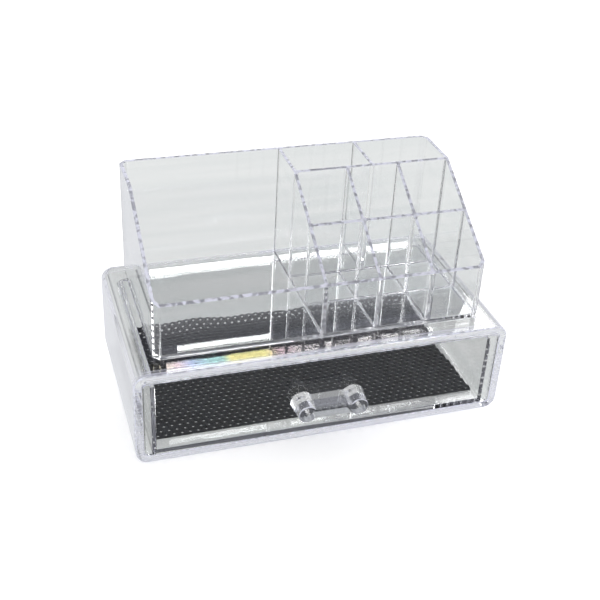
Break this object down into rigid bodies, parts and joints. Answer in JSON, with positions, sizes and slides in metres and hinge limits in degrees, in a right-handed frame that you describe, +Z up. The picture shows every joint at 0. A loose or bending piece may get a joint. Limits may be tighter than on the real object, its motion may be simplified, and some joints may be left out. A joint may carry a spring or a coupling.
{
  "type": "brush holder with drawer",
  "caption": "Clear plastic brush and cosmetics holder: a tray of open cells, sloped at the front, standing on a casing with one sliding drawer.",
  "frame": {"origin": "middle of the casing's underside, on the surface it stands on", "axes": "+Z up, -Y towards the front and the drawer, +X to the right seen from the front"},
  "size_m": [0.24, 0.1421, 0.1448],
  "materials": {
    "clear_casing": "clear polystyrene, polished mould",
    "clear_drawer": "clear polystyrene, polished mould",
    "clear_handle": "clear polystyrene, polished mould",
    "black_mesh": "matt foamed vinyl on a knitted mesh",
    "clear_tray": "clear polystyrene, polished mould"
  },
  "bodies": {
    "casing": {"casing": "clear_casing"},
    "drawer": {"drawer": "clear_drawer", "drawer_handle": "clear_handle", "drawer_mat": "black_mesh"},
    "tray": {"top_tray": "clear_tray"}
  },
  "joints": [
    {"name": "drawer_slide", "type": "slide", "parent": "casing", "child": "drawer", "axis": [0, -1, 0], "range_m": [0, 0.1]},
    {"name": "tray_lift", "type": "slide", "parent": "casing", "child": "tray", "axis": [0, 0, 1], "range_m": [0, 0.1]}
  ]
}
